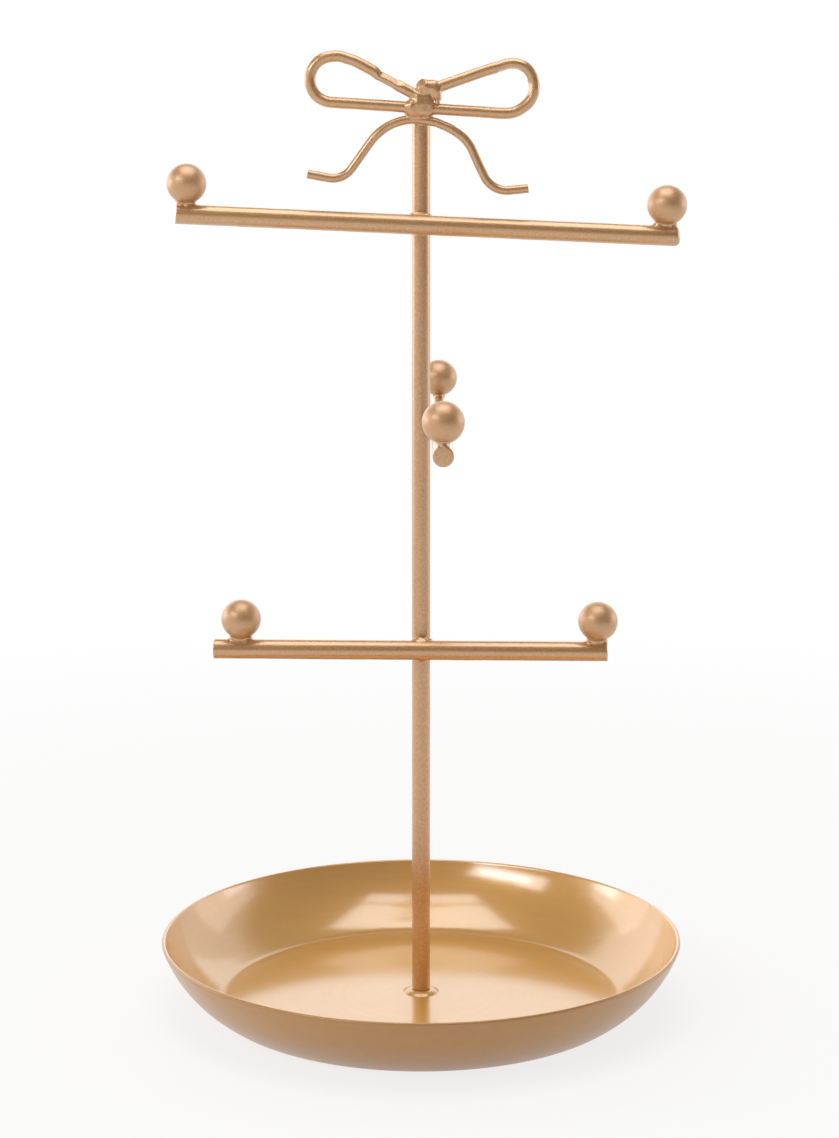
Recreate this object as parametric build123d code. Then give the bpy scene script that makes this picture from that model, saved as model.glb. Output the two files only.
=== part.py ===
"""Jewellery stand: a welded rod tree with a wire bow, screwed to a shallow spun dish.

Millimetres, +Z up. The origin is the centre of the dish's underside, on the table.
The front is -Y and the right-hand side is +X.
"""
from build123d import *
import math
import os

# Dish, spun from one steel sheet
dish_diameter = 160.0
dish_height = 20.8
floor_diameter = 123.6
sheet = 1.2
crease_angle = 27.8
crease_radius = 8.0
foot_band = 4.0
floor_rise = 1.0
boss_height = 1.0
boss_margin = 1.1
boss_slope_run = 1.0
lip_round = 0.45

# Fixing screw, a button head M3 from beneath
screw_diameter = 3.0
screw_length = 10.0
screw_head_diameter = 5.7
screw_head_height = 1.65
screw_head_round = 1.0
socket_across_flats = 2.0
socket_depth = 1.0
screw_hole_clearance = 0.4
thread_clearance = 0.05
tapped_hole_spare = 1.5

# Rods and balls
post_diameter = 5.6
post_above_upper_bar = 39.4
bar_diameter = 6.0
bar_end_round = 0.5
ball_diameter = 12.0
weld_root = 0.2
neck_diameter = 5.0
bar_weld_reach = 1.5

# Upper bar, leaning down to the right
upper_bar_length = 150.4
upper_above_middle_bar = 61.8
upper_bar_shift = 2.1
upper_bar_tilt = 2.55
upper_left_inset = 2.6
upper_right_inset = 4.2

# Middle bar, from front to back on the right of the post
middle_bar_length = 140.0
middle_above_lower_bar = 67.1
middle_bar_yaw = 0.6
middle_inset = 3.0

# Lower bar
lower_bar_length = 119.4
lower_bar_height = 110.7
lower_bar_shift = -3.2
lower_bar_tilt = 0.3
lower_left_inset = 8.3
lower_right_inset = 2.9

# Bow: one wire for both loops, one thinner wire for both tails
loop_wire = 3.4
tail_wire = 2.7
bow_drop = 4.6
bow_tilt = 3.6
left_loop_reach = 26.5
left_loop_radius = 7.0
right_loop_reach = 25.8
right_loop_radius = 7.35
loop_end_spread = 1.7
left_end_gap = 0.2
right_end_gap = 1.8
tail_gap = 0.7
left_shoulder = 8.5
left_shoulder_rise = 2.7
left_shoulder_bend = 16.0
left_hollow_reach = 23.3
left_hollow_drop = 18.0
left_hollow_bend = 7.0
left_tip_run = 10.7
left_tip_drop = 16.0
right_shoulder = 12.5
right_shoulder_drop = 3.3
right_shoulder_bend = 12.0
right_hollow_reach = 21.2
right_hollow_drop = 21.3
right_hollow_bend = 7.5
right_tip_run = 11.0
right_tip_drop = 20.2

# Knot, the weld metal drawn over the crossing of the wires and the post
knot_width = 8.0
knot_cover = 0.6
knot_above_post = 0.4
knot_round = 1.5
bead_diameter = 6.4
bead_shift = 2.6
bead_rise = 1.0

# Sizes that follow from the ones above
middle_bar_height = lower_bar_height + middle_above_lower_bar
upper_bar_height = middle_bar_height + upper_above_middle_bar
post_top = upper_bar_height + post_above_upper_bar
post_radius = post_diameter / 2
bar_radius = bar_diameter / 2
ball_radius = ball_diameter / 2
bar_offset = post_radius + weld_root + bar_radius
ball_rise = bar_radius + weld_root + ball_radius
boss_underside = floor_rise + boss_height
post_foot = boss_underside + sheet
boss_flat_radius = post_radius + boss_margin
boss_foot_radius = boss_flat_radius + boss_slope_run
loop_depth = post_radius + weld_root + loop_wire / 2
tail_depth = post_radius + weld_root + tail_wire / 2
bow_line_height = post_top - bow_drop
tail_height = bow_line_height - loop_wire / 2 - tail_gap - tail_wire / 2


def save(name, shape):
    """Write one node's solid to its own file."""
    shape.label = name
    export_step(shape, os.path.join("parts", name + ".step"))


def dish_underside():
    """Line of the dish's underside, from the screw hole out to past the rim."""
    rim_step = (dish_diameter - floor_diameter) / 2
    chord = math.hypot(rim_step, dish_height)
    chord_angle = math.degrees(math.atan2(dish_height, rim_step))
    wall_radius = chord / (2 * math.sin(math.radians(chord_angle - crease_angle)))
    wall_x = floor_diameter / 2 - wall_radius * math.sin(math.radians(crease_angle))
    wall_z = wall_radius * math.cos(math.radians(crease_angle))
    bend_to_wall = wall_radius - crease_radius
    fall = wall_z - crease_radius
    floor_radius = wall_x + math.sqrt(bend_to_wall**2 - fall**2)
    crease_turn = math.degrees(math.acos(fall / bend_to_wall))
    rim_slope = 2 * chord_angle - crease_angle
    beyond_rim = math.degrees(2 * sheet / wall_radius)
    hole_radius = (screw_diameter + screw_hole_clearance) / 2
    floor_line = Polyline(
        (hole_radius, boss_underside),
        (boss_flat_radius, boss_underside),
        (boss_foot_radius, floor_rise),
        (floor_radius - foot_band, 0),
        (floor_radius, 0),
    )
    crease = CenterArc((floor_radius, crease_radius), crease_radius, -90, crease_turn)
    wall_turn = rim_slope + beyond_rim - crease_turn
    wall = CenterArc((wall_x, wall_z), wall_radius, crease_turn - 90, wall_turn)
    return Wire(floor_line.edges() + [crease.edge(), wall.edge()])


def make_dish():
    """Dish of even sheet, with a raised boss for the post and a rounded lip."""
    section = make_face(dish_underside().offset_2d(sheet, side=Side.LEFT, closed=True))
    below_lip = Pos(0, dish_height / 2) * Rectangle(2 * dish_diameter, dish_height)
    section = Plane.XZ * (section & below_lip)
    dish = revolve(section, axis=Axis.Z)
    lip_edges = dish.edges().group_by(Axis.Z)[-1]
    return fillet(lip_edges, lip_round)


def make_screw():
    """Button head screw, head under the boss and shank up inside the post."""
    shank = Pos(0, 0, boss_underside) * Cylinder(
        screw_diameter / 2, screw_length, align=(Align.CENTER, Align.CENTER, Align.MIN)
    )
    head = Pos(0, 0, boss_underside) * Cylinder(
        screw_head_diameter / 2, screw_head_height, align=(Align.CENTER, Align.CENTER, Align.MAX)
    )
    head = fillet(head.edges().group_by(Axis.Z)[0], screw_head_round)
    socket = Pos(0, 0, boss_underside - screw_head_height) * extrude(
        RegularPolygon(socket_across_flats / 2, 6, major_radius=False), socket_depth
    )
    return shank + head - socket


def make_post():
    """Upright rod, tapped at its foot."""
    height = post_top - post_foot
    rod = Pos(0, 0, post_foot) * Cylinder(
        post_radius, height, align=(Align.CENTER, Align.CENTER, Align.MIN)
    )
    depth = screw_length - sheet + tapped_hole_spare
    hole = Pos(0, 0, post_foot) * Cylinder(
        (screw_diameter + thread_clearance) / 2, depth, align=(Align.CENTER, Align.CENTER, Align.MIN)
    )
    return rod - hole


def upper_bar_place():
    """Frame of the upper bar: X along the bar, Z up."""
    crossing = Pos(0, -bar_offset, upper_bar_height) * Rot(0, upper_bar_tilt, 0)
    return crossing * Pos(upper_bar_shift, 0, 0)


def middle_bar_place():
    """Frame of the middle bar: X runs from front to back, Z up."""
    return Pos(bar_offset, 0, middle_bar_height) * Rot(0, 0, 90 + middle_bar_yaw)


def lower_bar_place():
    """Frame of the lower bar: X along the bar, Z up."""
    crossing = Pos(0, -bar_offset, lower_bar_height) * Rot(0, lower_bar_tilt, 0)
    return crossing * Pos(lower_bar_shift, 0, 0)


def make_bar(place, length):
    """Straight rod with eased ends, along the X axis of its frame."""
    rod = Rot(0, 90, 0) * Cylinder(bar_radius, length)
    return place * fillet(rod.edges().filter_by(GeomType.CIRCLE), bar_end_round)


def make_ball(place, along):
    """Ball standing on a bar, at a distance along it."""
    return place * Pos(along, 0, ball_rise) * Sphere(ball_radius)


def make_ball_weld(place, along, bar, ball):
    """Neck of weld metal between a bar and its ball."""
    neck = place * Pos(along, 0, 0) * Cylinder(
        neck_diameter / 2, ball_rise, align=(Align.CENTER, Align.CENTER, Align.MIN)
    )
    return (neck - bar - ball).solids().sort_by(Axis.Z)[-1]


def make_bar_weld(contact, bar, post):
    """Fillet of weld metal where a bar lies against the post."""
    blob = Pos(*contact) * Sphere(bar_radius + bar_weld_reach)
    return blob - bar - post


def bow_point(along, above=0.0):
    """Point of the bow's flat drawing, from the line of the loops' lower run.

    along is measured on that line from the post's axis, above is square to it.
    """
    tilt = math.radians(bow_tilt)
    x = along * math.cos(tilt) + above * math.sin(tilt)
    z = bow_line_height - along * math.sin(tilt) + above * math.cos(tilt)
    return Vector(x, z)


def heading(start, end):
    """Direction from one drawn point to another, in degrees."""
    step = end - start
    return math.degrees(math.atan2(step.Y, step.X))


def touch_point(centre, radius, travel):
    """Point where a run with this heading touches a circle on its left."""
    angle = math.radians(travel - 90)
    return centre + Vector(math.cos(angle), math.sin(angle)) * radius


def loops_path():
    """Centre line of the loop wire, from the knot round both loops and back to the knot."""
    left = bow_point(-left_loop_reach, left_loop_radius)
    right = bow_point(right_loop_reach, right_loop_radius)
    start = bow_point(-loop_end_spread, loop_wire + left_end_gap)
    end = bow_point(loop_end_spread, loop_wire + right_end_gap)
    rising = heading(start, left) - math.degrees(math.asin(left_loop_radius / (left - start).length))
    across = 360 - bow_tilt
    falling = heading(right, end) + math.degrees(math.asin(right_loop_radius / (end - right).length))
    falling = falling % 360 + 360
    left_top = touch_point(left, left_loop_radius, rising)
    left_foot = touch_point(left, left_loop_radius, across)
    right_foot = touch_point(right, right_loop_radius, across)
    right_top = touch_point(right, right_loop_radius, falling)
    edges = [
        Line(start, left_top),
        CenterArc(left, left_loop_radius, rising - 90, across - rising),
        Line(left_foot, right_foot),
        CenterArc(right, right_loop_radius, across - 90, falling - across),
        Line(right_top, end),
    ]
    return Plane.XZ.offset(loop_depth) * Wire([edge.edge() for edge in edges])


def tails_path():
    """Centre line of the tail wire, from the left tip over the post to the right tip."""
    points = [
        (-left_hollow_reach - left_tip_run, tail_height - left_tip_drop),
        (-left_hollow_reach, tail_height - left_hollow_drop),
        (-left_shoulder, tail_height + left_shoulder_rise),
        (right_shoulder, tail_height - right_shoulder_drop),
        (right_hollow_reach, tail_height - right_hollow_drop),
        (right_hollow_reach + right_tip_run, tail_height - right_tip_drop),
    ]
    bends = [left_hollow_bend, left_shoulder_bend, right_shoulder_bend, right_hollow_bend]
    return Plane.XZ.offset(tail_depth) * FilletPolyline(*points, radius=bends).wire()


def make_wire(path, diameter):
    """Round wire along a path of lines and arcs."""
    section = Plane(origin=path @ 0, z_dir=path % 0) * Circle(diameter / 2)
    return sweep(section, path=path)


def make_knot(post, loops, tails):
    """Block of weld metal over the crossing, fitted round the wires and the post."""
    bottom = tail_height + tail_wire / 4
    top = post_top + knot_above_post
    front = loop_depth + loop_wire / 2 + knot_cover
    back = post_radius / 2
    block = Pos(0, -(front + back) / 2, (top + bottom) / 2) * Box(knot_width, front - back, top - bottom)
    front_edges = block.faces().sort_by(Axis.Y)[0].edges()
    block = fillet(front_edges, knot_round)
    return block - post - loops - tails


def make_bow_bead(knot, loops, post):
    """Bead of weld metal on top of the knot, over the wire ends."""
    ball = Pos(bead_shift, -loop_depth, post_top + bead_rise) * Sphere(bead_diameter / 2)
    return ball - knot - loops - post


def build_bar(name, place, length, contact, insets, post):
    """Make one bar with its weld to the post, its two balls and their necks.

    insets maps each ball's name to its inset from the bar's end and the end's sign.
    """
    bar = make_bar(place, length)
    save(name + "_bar", bar)
    save(name + "_bar_weld", make_bar_weld(contact, bar, post))
    for ball_name, (sign, inset) in insets.items():
        along = sign * (length / 2 - inset)
        ball = make_ball(place, along)
        save(ball_name, ball)
        save(ball_name + "_weld", make_ball_weld(place, along, bar, ball))


def build_bow(post):
    """Make the loop wire, the tail wire, the knot and its bead."""
    loops = make_wire(loops_path(), loop_wire)
    tails = make_wire(tails_path(), tail_wire)
    knot = make_knot(post, loops, tails)
    save("bow_loops", loops)
    save("bow_tails", tails)
    save("bow_knot", knot)
    save("bow_bead", make_bow_bead(knot, loops, post))


def main():
    """Make every piece of the stand."""
    os.makedirs("parts", exist_ok=True)
    save("dish", make_dish())
    save("fixing_screw", make_screw())
    post = make_post()
    save("post", post)
    front_contact = post_radius + weld_root / 2
    build_bar(
        "upper", upper_bar_place(), upper_bar_length, (0, -front_contact, upper_bar_height),
        {"upper_left_ball": (-1, upper_left_inset), "upper_right_ball": (1, upper_right_inset)}, post,
    )
    build_bar(
        "middle", middle_bar_place(), middle_bar_length, (front_contact, 0, middle_bar_height),
        {"middle_front_ball": (-1, middle_inset), "middle_rear_ball": (1, middle_inset)}, post,
    )
    build_bar(
        "lower", lower_bar_place(), lower_bar_length, (0, -front_contact, lower_bar_height),
        {"lower_left_ball": (-1, lower_left_inset), "lower_right_ball": (1, lower_right_inset)}, post,
    )
    build_bow(post)


main()
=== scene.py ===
"""Looks of the jewellery stand: welded rods, balls and a wire bow over a shallow spun dish.

Blender works in metres. The stand's sizes here are in millimetres. +Z is up and the front is -Y.
"""
import logging
import math
from dataclasses import dataclass, replace
from enum import Enum
from typing import Any, Protocol

import bpy
import numpy as np
from mathutils import Euler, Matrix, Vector


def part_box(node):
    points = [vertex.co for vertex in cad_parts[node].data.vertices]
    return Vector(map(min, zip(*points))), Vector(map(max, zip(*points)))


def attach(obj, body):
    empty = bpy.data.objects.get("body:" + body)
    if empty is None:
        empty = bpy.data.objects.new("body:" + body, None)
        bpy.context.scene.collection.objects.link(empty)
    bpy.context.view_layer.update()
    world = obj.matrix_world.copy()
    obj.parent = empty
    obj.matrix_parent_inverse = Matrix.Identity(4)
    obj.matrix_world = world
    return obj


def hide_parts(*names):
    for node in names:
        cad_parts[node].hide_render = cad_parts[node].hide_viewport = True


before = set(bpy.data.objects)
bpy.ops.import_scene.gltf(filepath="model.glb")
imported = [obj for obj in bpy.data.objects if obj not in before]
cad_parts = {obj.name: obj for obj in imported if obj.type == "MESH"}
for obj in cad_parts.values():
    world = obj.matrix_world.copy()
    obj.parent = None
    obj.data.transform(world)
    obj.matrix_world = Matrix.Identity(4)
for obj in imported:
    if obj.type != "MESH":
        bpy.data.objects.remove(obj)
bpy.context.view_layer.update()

MM = 0.001
UP = np.array([0.0, 0.0, 1.0])
BACK = np.array([0.0, 1.0, 0.0])
WAVES = 9
WAVE_SPREAD = (0.7, 1.3)
WAVE_HEIGHT = 1.5
LOG = logging.getLogger("jewellery_stand")
Array = np.ndarray
Material = bpy.types.Material
Socket = bpy.types.NodeSocket
Tree = bpy.types.NodeTree
Pattern = tuple[bpy.types.Node, bpy.types.Node | float, bpy.types.Node]
Pair = tuple[float, float]
Triple = tuple[float, float, float]
Lumps = tuple[tuple[float, float, float, float], ...]


class Body(Enum):
    """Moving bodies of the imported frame."""

    DISH = "dish"
    FRAME = "frame"


class Slot(Enum):
    """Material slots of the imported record."""

    ROD_GOLD = "satin_gold_frame"
    DISH_GOLD = "gold_dish"
    SCREW_STEEL = "screw_steel"


# Nodes and colours


def linear(hex_colour: str) -> tuple[float, float, float, float]:
    """Turn an sRGB hex colour into the linear colour that shaders use.

    Args:
        hex_colour: the colour as "#RRGGBB".

    Returns:
        Linear red, green and blue, and an alpha of 1.
    """
    shares = [int(hex_colour[place:place + 2], 16) / 255 for place in (1, 3, 5)]
    red, green, blue = [s / 12.92 if s <= 0.04045 else ((s + 0.055) / 1.055) ** 2.4 for s in shares]
    return red, green, blue, 1.0


def add_node(tree: Tree, kind: str, inputs: dict[Any, Any], **settings: Any) -> bpy.types.Node:
    """Add a shader node, set it up and link it.

    Args:
        tree: the node tree.
        kind: the node's type name, without the ShaderNode before it.
        inputs: for each named or numbered input a value, an output, or a node for its first output.
        **settings: attributes of the node itself.

    Returns:
        The new node.
    """
    node = tree.nodes.new("ShaderNode" + kind)
    for name, value in settings.items():
        setattr(node, name, value)
    for name, value in inputs.items():
        value = value.outputs[0] if isinstance(value, bpy.types.Node) else value
        if isinstance(value, Socket):
            tree.links.new(value, node.inputs[name])
        else:
            node.inputs[name].default_value = value
    return node


def bare_tree(owner: Material | bpy.types.World) -> Tree:
    """Node tree of a material or a world, with no nodes in it yet."""
    owner.use_nodes = True
    owner.node_tree.nodes.clear()
    return owner.node_tree


def add_object(name: str, data: bpy.types.ID) -> bpy.types.Object:
    """Add an object with this mesh, light or camera to the scene."""
    made = bpy.data.objects.new(name, data)
    bpy.context.scene.collection.objects.link(made)
    return made


def per_metre(size: float) -> float:
    """Texture scale that draws a pattern of this size in millimetres."""
    return 1.0 / (size * MM)


# Finishes


@dataclass(frozen=True, kw_only=True)
class Finish:
    """Metal finish: two tones in a pattern, sized in millimetres, under a clear coat."""

    name: str
    light: str
    dark: str
    metallic: float
    roughness: float
    coat: float = 1.0
    coat_roughness: float
    coat_ior: float
    peel: float
    peel_depth: float

    def pattern(self, tree: Tree, place: Socket) -> Pattern:
        """Nodes for the share of the lighter tone, for the roughness and for the bumps."""
        raise NotImplementedError

    def material(self) -> Material:
        """Make the material: its pattern in the metal, the coat over it and the bumps in both."""
        made = bpy.data.materials.new(self.name)
        tree = bare_tree(made)
        tone, roughness, bump = self.pattern(tree, add_node(tree, "TexCoord", {}).outputs["Object"])
        colour = add_node(tree, "Mix", {
            "Factor": tone, 6: linear(self.dark), 7: linear(self.light)}, data_type="RGBA")
        shader = add_node(tree, "BsdfPrincipled", {
            "Base Color": colour.outputs[2], "Metallic": self.metallic, "Roughness": roughness,
            "Coat Weight": self.coat, "Coat Roughness": self.coat_roughness, "Coat IOR": self.coat_ior,
            "Normal": bump, "Coat Normal": bump})
        add_node(tree, "OutputMaterial", {"Surface": shader})
        return made


@dataclass(frozen=True, kw_only=True)
class SatinGoldLacquer(Finish):
    """Gold lacquer sprayed on the welded steel rods, left satin.

    The eye sees a soft brown gold with a fine pigment speckle, a wide highlight and pale edges.
    """

    name: str = "satin_gold_lacquer"
    light: str = "#DEAA6D"
    dark: str = "#B88449"
    metallic: float = 0.70
    roughness: float = 0.40
    coat_roughness: float = 0.22
    coat_ior: float = 2.1
    peel: float = 1.6
    peel_depth: float = 0.006
    speckle: float = 0.6
    spread: float = 0.30
    sheen_spread: float = 0.05

    def pattern(self, tree: Tree, place: Socket) -> Pattern:
        """Speckle in the colour and the sheen, orange peel in the surface."""
        speckle = add_node(tree, "TexNoise", {
            "Vector": place, "Scale": per_metre(self.speckle), "Detail": 3.0, "Roughness": 0.6})
        grain = add_node(tree, "MapRange", {
            "Value": speckle, "From Min": 0.5 - self.spread, "From Max": 0.5 + self.spread})
        sheen = add_node(tree, "MapRange", {
            "Value": grain, "To Min": self.roughness - self.sheen_spread,
            "To Max": self.roughness + self.sheen_spread})
        peel = add_node(tree, "TexNoise", {
            "Vector": place, "Scale": per_metre(self.peel), "Detail": 2.0, "Roughness": 0.55})
        return grain, sheen, add_node(tree, "Bump", {"Height": peel, "Distance": self.peel_depth * MM})


@dataclass(frozen=True, kw_only=True)
class SpunGoldLacquer(Finish):
    """Gold lacquer over spun sheet: the tool's rings run round the dish under the coat.

    Inside, the clear coat is glossy and mirrors the room. Outside it is satin, and the rings show.
    """

    peel: float = 3.5
    peel_depth: float = 0.01
    ring: float
    ring_depth: float
    least_tone: float = 0.25

    def pattern(self, tree: Tree, place: Socket) -> Pattern:
        """Rings in the colour and the surface, cloudy pigment and a slight orange peel."""
        part = add_node(tree, "SeparateXYZ", {0: place})
        flat = add_node(tree, "CombineXYZ", {0: part.outputs[0], 1: part.outputs[1]})
        radius = add_node(tree, "VectorMath", {0: flat}, operation="LENGTH")
        travel = add_node(tree, "Math", {0: radius.outputs["Value"], 1: part.outputs[2]}, operation="ADD")
        rings = add_node(tree, "TexNoise", {
            "W": travel, "Scale": per_metre(self.ring), "Detail": 4.0, "Roughness": 0.7},
            noise_dimensions="1D")
        cloud = add_node(tree, "TexNoise", {
            "Vector": place, "Scale": per_metre(self.peel), "Detail": 4.0, "Roughness": 0.6})
        tone = add_node(tree, "Math", {0: rings, 1: cloud, 2: self.least_tone}, operation="MULTIPLY_ADD")
        ridges = add_node(tree, "Bump", {"Height": rings, "Distance": self.ring_depth * MM})
        bump = add_node(tree, "Bump", {"Height": cloud, "Distance": self.peel_depth * MM, "Normal": ridges})
        return tone, self.roughness, bump


@dataclass(frozen=True, kw_only=True)
class ZincPlate(Finish):
    """Bright zinc plate on the steel screw: cool grey, a little cloudy, with a plain metal shine."""

    name: str = "zinc_plated_steel"
    light: str = "#C9CBCE"
    dark: str = "#A2A6AB"
    metallic: float = 1.0
    roughness: float = 0.32
    coat: float = 0.0
    coat_roughness: float = 0.0
    coat_ior: float = 1.5
    peel: float = 0.8
    peel_depth: float = 0.008

    def pattern(self, tree: Tree, place: Socket) -> Pattern:
        """Cloudy crystals in the colour and the surface."""
        cloud = add_node(tree, "TexNoise", {
            "Vector": place, "Scale": per_metre(self.peel), "Detail": 4.0, "Roughness": 0.6})
        bump = add_node(tree, "Bump", {"Height": cloud, "Distance": self.peel_depth * MM})
        return cloud, self.roughness, bump


GLOSS_INSIDE = SpunGoldLacquer(
    name="gloss_gold_lacquer_on_spun_sheet", light="#E5AD52", dark="#D79F45", metallic=0.30,
    roughness=0.44, coat_roughness=0.14, coat_ior=2.25, ring=1.8, ring_depth=0.001)
SATIN_OUTSIDE = SpunGoldLacquer(
    name="satin_gold_lacquer_on_spun_sheet", light="#C89659", dark="#B17F42", metallic=0.3,
    roughness=0.45, coat_roughness=0.30, coat_ior=1.45, ring=1.0, ring_depth=0.012)
ROD_GOLD = SatinGoldLacquer()
BALL_GOLD = SatinGoldLacquer(
    name="satin_gold_lacquer_on_cast_balls", roughness=0.52, coat_roughness=0.38, speckle=0.5, spread=0.5)


# Meshes


@dataclass
class Skin:
    """Points in millimetres and the faces between them."""

    points: Array
    faces: list[tuple[int, ...]]


def unit(vector: Array) -> Array:
    """Vectors of length one, along the last axis."""
    return vector / np.linalg.norm(vector, axis=-1, keepdims=True)


def unevenness(points: Array, size: float, seed: int) -> Array:
    """Smooth, seeded unevenness from crossing waves.

    Args:
        points: places in millimetres.
        size: the waves' rough length in millimetres.
        seed: the seed of the draw.

    Returns:
        A number between about -1 and 1 for each place.
    """
    draw = np.random.default_rng(seed)
    waves = unit(draw.normal(size=(WAVES, 3))) * draw.uniform(*WAVE_SPREAD, (WAVES, 1)) * 2 * math.pi / size
    phases = draw.uniform(0, 2 * math.pi, WAVES)
    return np.sin(points @ waves.T + phases).mean(axis=-1) * WAVE_HEIGHT


def spun(section: Array, columns: int) -> Array:
    """Rings of points: a section, as radius and height, turned round the upright axis."""
    angles = np.linspace(0, 2 * math.pi, columns, endpoint=False)
    radius, height = section[:, None, 0], np.repeat(section[:, None, 1], columns, axis=1)
    return np.stack([radius * np.cos(angles), radius * np.sin(angles), height], axis=-1)


def ring_skin(rings: Array, closed: bool = False) -> Skin:
    """Skin rings of points with quads.

    Args:
        rings: the points, by ring and by place round the ring.
        closed: whether the last ring joins the first. Otherwise each end is capped.

    Returns:
        The closed skin.
    """
    count, columns = rings.shape[:2]
    faces = []
    for ring in range(count if closed else count - 1):
        here = ring * columns
        there = (ring + 1) % count * columns
        for column in range(columns):
            beside = (column + 1) % columns
            faces.append((here + column, here + beside, there + beside, there + column))
    if not closed:
        faces.append(tuple(reversed(range(columns))))
        faces.append(tuple(range((count - 1) * columns, count * columns)))
    return Skin(rings.reshape(-1, 3), faces)


def rounded_line(corners: list[Pair], bends: list[float], turns: int = 12) -> Array:
    """Flat line of straight runs with rounded corners.

    Args:
        corners: the corner points, both ends included.
        bends: the radius at each inner corner.
        turns: the number of steps in each bend.

    Returns:
        The points along the line.
    """
    places = [np.array(corner, float) for corner in corners]
    line = [places[0]]
    for before, corner, after, bend in zip(places, places[1:], places[2:], bends):
        into, out = unit(corner - before), unit(after - corner)
        turn = math.atan2(into[0] * out[1] - into[1] * out[0], into @ out)
        first = corner - into * bend * math.tan(abs(turn) / 2)
        centre = first + math.copysign(bend, turn) * np.array([-into[1], into[0]])
        start = math.degrees(math.atan2(*(first - centre)[::-1]))
        line.extend(arc_line(centre, bend, start, math.degrees(turn), turns))
    line.append(places[-1])
    return np.array(line)


def arc_line(centre: Array, radius: float, start: float, sweep: float, turns: int = 128) -> Array:
    """Points along an arc, from its start angle through its sweep, in degrees."""
    angles = np.radians(np.linspace(start, start + sweep, turns + 1))
    return centre + radius * np.stack([np.cos(angles), np.sin(angles)], axis=1)


def distance_along(path: Array) -> Array:
    """Distance from a path's start to each of its points."""
    steps = np.linalg.norm(np.diff(path, axis=0), axis=1)
    return np.concatenate([[0.0], np.cumsum(steps)])


def points_along(path: Array, stations: Array) -> Array:
    """Points of a path at these distances from its start."""
    along = distance_along(path)
    return np.stack([np.interp(stations, along, path[:, axis]) for axis in range(path.shape[1])], axis=1)


def hand_bent(path: Array, strays: tuple[Pair, ...], step: float = 0.25, easing: int = 7) -> Array:
    """Flat path that strays from its drawing, as a wire bent by hand does.

    Args:
        path: the drawn path.
        strays: places along it, and how far the wire strays to the left there.
        step: the distance between the new points.
        easing: the odd number of points that each stray is averaged over.

    Returns:
        The points of the strayed path.
    """
    stations = np.arange(0, distance_along(path)[-1], step)
    points = points_along(path, stations)
    ahead = unit(np.gradient(points, axis=0))
    left = np.stack([-ahead[:, 1], ahead[:, 0]], axis=1)
    stray = np.interp(stations, *zip(*strays))
    eased = np.convolve(np.pad(stray, easing // 2, mode="edge"), np.ones(easing) / easing, mode="valid")
    return points + left * eased[:, None]


@dataclass(frozen=True)
class PressedFlat:
    """Flat pressed or filed into a wire.

    Towards is the angle round the wire that the flat faces, in degrees.
    """

    start: float
    end: float
    towards: float
    depth: float
    ramp: float = 0.5
    least_facing: float = 0.05

    def offset(self, stations: Array, angles: Array, radius: float) -> Array:
        """How far the flat pulls the wire's surface in, by station and angle."""
        begun = np.clip((stations - self.start) / self.ramp + 0.5, 0, 1)
        ended = np.clip((self.end - stations) / self.ramp + 0.5, 0, 1)
        depth = (self.depth * np.minimum(begun, ended))[:, None]
        facing = np.maximum(np.cos(angles - math.radians(self.towards)), self.least_facing)[None, :]
        return np.minimum(0.0, (radius - depth) / facing - radius)


@dataclass(frozen=True)
class WireForm:
    """Round wire or rod: its radius, its cut ends, its flats and how uneven it is."""

    radius: float
    easings: Pair
    flats: tuple[PressedFlat, ...] = ()
    uneven: float = 0.03
    uneven_size: float = 5.0
    seed: int = 1
    step: float = 0.5
    columns: int = 40
    easing_steps: int = 7
    face_share: float = 0.3

    def stations(self, length: float) -> tuple[Array, Array]:
        """Stations along the wire and its radius there, with an eased edge and a flat face at each end."""
        turn = np.linspace(0, math.pi / 2, self.easing_steps)
        heads = []
        for easing in self.easings:
            place = np.concatenate([[0.0], easing * (1 - np.cos(turn))])
            edge = self.radius - easing * (1 - np.sin(turn))
            heads.append((place, np.concatenate([[self.face_share * self.radius], edge])))
        count = max(2, round((length - sum(self.easings)) / self.step))
        middle = np.linspace(self.easings[0], length - self.easings[1], count)[1:-1]
        place = np.concatenate([heads[0][0], middle, length - heads[1][0][::-1]])
        radius = np.concatenate([heads[0][1], np.full(len(middle), self.radius), heads[1][1][::-1]])
        return place, radius

    def rings(self, path: Array, across: Array) -> Array:
        """Rings of points along a path.

        Args:
            path: the wire's centre line.
            across: the direction square to the path's plane.

        Returns:
            The points by ring. Angle 0 round a ring is square to the path and to across.
        """
        place, radius = self.stations(distance_along(path)[-1])
        centres = points_along(path, place)
        ahead = unit(points_along(path, place + self.step) - points_along(path, place - self.step))
        side = unit(np.cross(ahead, across))
        angles = np.linspace(0, 2 * math.pi, self.columns, endpoint=False)
        turned = (np.cos(angles)[None, :, None] * side[:, None, :]
                  + np.sin(angles)[None, :, None] * across[None, None, :])
        pressed = np.zeros((len(place), self.columns))
        for flat in self.flats:
            pressed = np.minimum(pressed, flat.offset(place, angles, self.radius))
        surface = centres[:, None, :] + turned * radius[:, None, None]
        ripple = self.uneven * unevenness(surface, self.uneven_size, self.seed)
        share = (radius / self.radius)[:, None]
        return surface + turned * ((pressed + ripple) * share)[..., None]


# Weld metal as distance fields


class Field(Protocol):
    """A form that knows how far a place is from its surface."""

    def distance(self, points: Array) -> Array:
        """Distance to the surface, negative inside."""


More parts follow.
